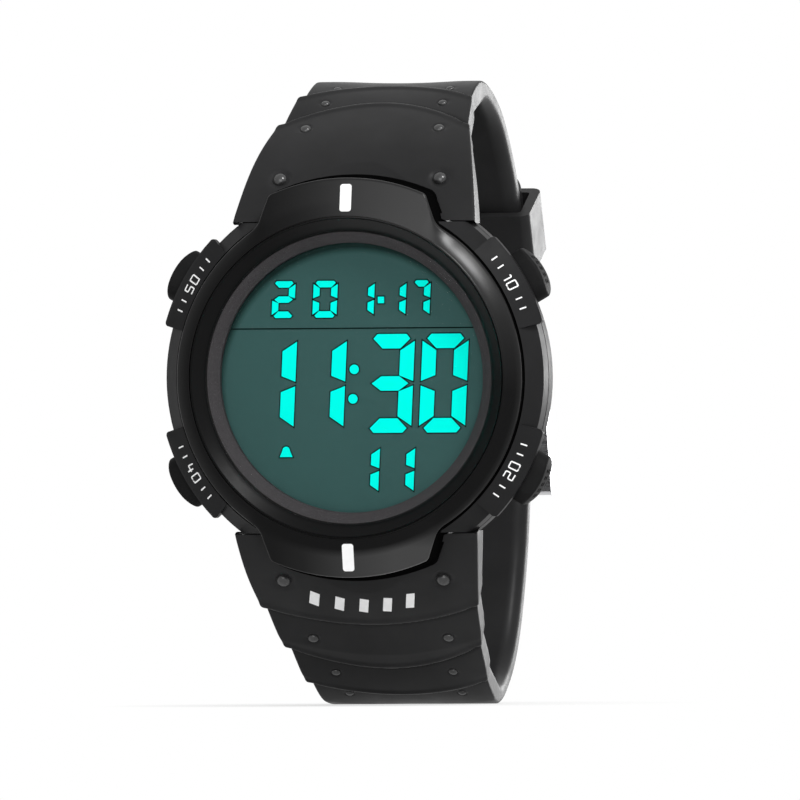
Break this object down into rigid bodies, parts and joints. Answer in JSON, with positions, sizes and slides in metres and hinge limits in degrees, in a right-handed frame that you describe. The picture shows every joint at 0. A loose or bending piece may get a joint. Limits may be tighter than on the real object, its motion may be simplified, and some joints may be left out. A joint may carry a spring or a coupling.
{
  "type": "digital wristwatch",
  "caption": "Digital sports watch with a round resin case, side pushers and a buckled resin strap, its inner module included.",
  "frame": {"origin": "centre of the case back's outer face, which rests on the wrist", "axes": "+X towards 3 o'clock, +Z towards 12 o'clock, +Y from the face into the wrist"},
  "size_m": [0.0504, 0.0656, 0.0815],
  "materials": {
    "case_resin": "satin dark grey resin",
    "bezel_gloss": "semi-gloss black",
    "index_white": "white",
    "crystal_glass": "clear",
    "black_rubber": "matte",
    "mask_grey": "fine-grained dark grey print",
    "display_teal": "dark teal polariser",
    "segment_cyan": "bright cyan",
    "rule_dark": "near-black print",
    "backlight_film": "pale film",
    "module_plastic": "natural plastic",
    "zebra_rubber": "striped elastomer",
    "board_green": "solder resist",
    "chip_black": "epoxy",
    "steel": "brushed stainless steel",
    "brass": "plain",
    "strap_resin": "satin dark grey resin",
    "pusher_plastic": "satin black",
    "spring_steel": "spring wire"
  },
  "bodies": {
    "watch": {"case_body": "case_resin", "bezel": "bezel_gloss", "index_marks": "index_white", "crystal": "crystal_glass", "crystal_gasket": "black_rubber", "case_back_gasket": "black_rubber", "pusher_seals": "black_rubber", "dial_mask": "mask_grey", "lcd_glass": "display_teal", "lcd_segments": "segment_cyan", "display_rule": "rule_dark", "el_backlight": "backlight_film", "module_frame": "module_plastic", "module_spacer": "module_plastic", "zebra_strips": "zebra_rubber", "circuit_board": "board_green", "driver_chip": "chip_black", "timing_crystal": "steel", "battery": "steel", "battery_clip": "steel", "case_back": "steel", "case_back_screws": "steel", "upper_spring_bar": "steel", "lower_spring_bar": "steel", "buckle_spring_bar": "steel", "buzzer_disc": "brass", "buzzer_spring": "brass", "battery_contact": "brass", "switch_contacts": "brass", "upper_strap": "strap_resin", "lower_strap": "strap_resin", "pusher_spring_at_2": "spring_steel", "pusher_spring_at_4": "spring_steel", "pusher_spring_at_8": "spring_steel", "pusher_spring_at_10": "spring_steel"},
    "pusher_2": {"pusher_at_2": "pusher_plastic", "circlip_at_2": "spring_steel"},
    "pusher_4": {"pusher_at_4": "pusher_plastic", "circlip_at_4": "spring_steel"},
    "pusher_8": {"pusher_at_8": "pusher_plastic", "circlip_at_8": "spring_steel"},
    "pusher_10": {"pusher_at_10": "pusher_plastic", "circlip_at_10": "spring_steel"},
    "buckle": {"buckle_frame": "steel"},
    "tongue": {"buckle_tongue": "steel"},
    "keeper": {"strap_keeper": "strap_resin"}
  },
  "joints": [
    {"name": "press_pusher_2", "type": "slide", "parent": "watch", "child": "pusher_2", "axis": [-0.866, 0, -0.5], "range_m": [0, 0.0008], "stiffness_N_per_m": 1000, "springref_m": -0.001, "deforming": ["pusher_spring_at_2"]},
    {"name": "press_pusher_4", "type": "slide", "parent": "watch", "child": "pusher_4", "axis": [-0.866, 0, 0.5], "range_m": [0, 0.0008], "stiffness_N_per_m": 1000, "springref_m": -0.001, "deforming": ["pusher_spring_at_4"]},
    {"name": "press_pusher_8", "type": "slide", "parent": "watch", "child": "pusher_8", "axis": [0.866, 0, 0.5], "range_m": [0, 0.0008], "stiffness_N_per_m": 1000, "springref_m": -0.001, "deforming": ["pusher_spring_at_8"]},
    {"name": "press_pusher_10", "type": "slide", "parent": "watch", "child": "pusher_10", "axis": [0.866, 0, -0.5], "range_m": [0, 0.0008], "stiffness_N_per_m": 1000, "springref_m": -0.001, "deforming": ["pusher_spring_at_10"]},
    {"name": "buckle_turn", "type": "hinge", "parent": "watch", "child": "buckle", "pos_m": [0, 0.04613, -0.004], "axis": [1, 0, 0], "range_deg": [0, 5]},
    {"name": "tongue_lift", "type": "hinge", "parent": "buckle", "child": "tongue", "pos_m": [0, 0.04613, -0.004], "axis": [1, 0, 0], "range_deg": [0, 5]},
    {"name": "keeper_slide", "type": "slide", "parent": "watch", "child": "keeper", "axis": [0, 0.4137, -0.9104], "range_m": [-0.0008, 0.0015]}
  ]
}
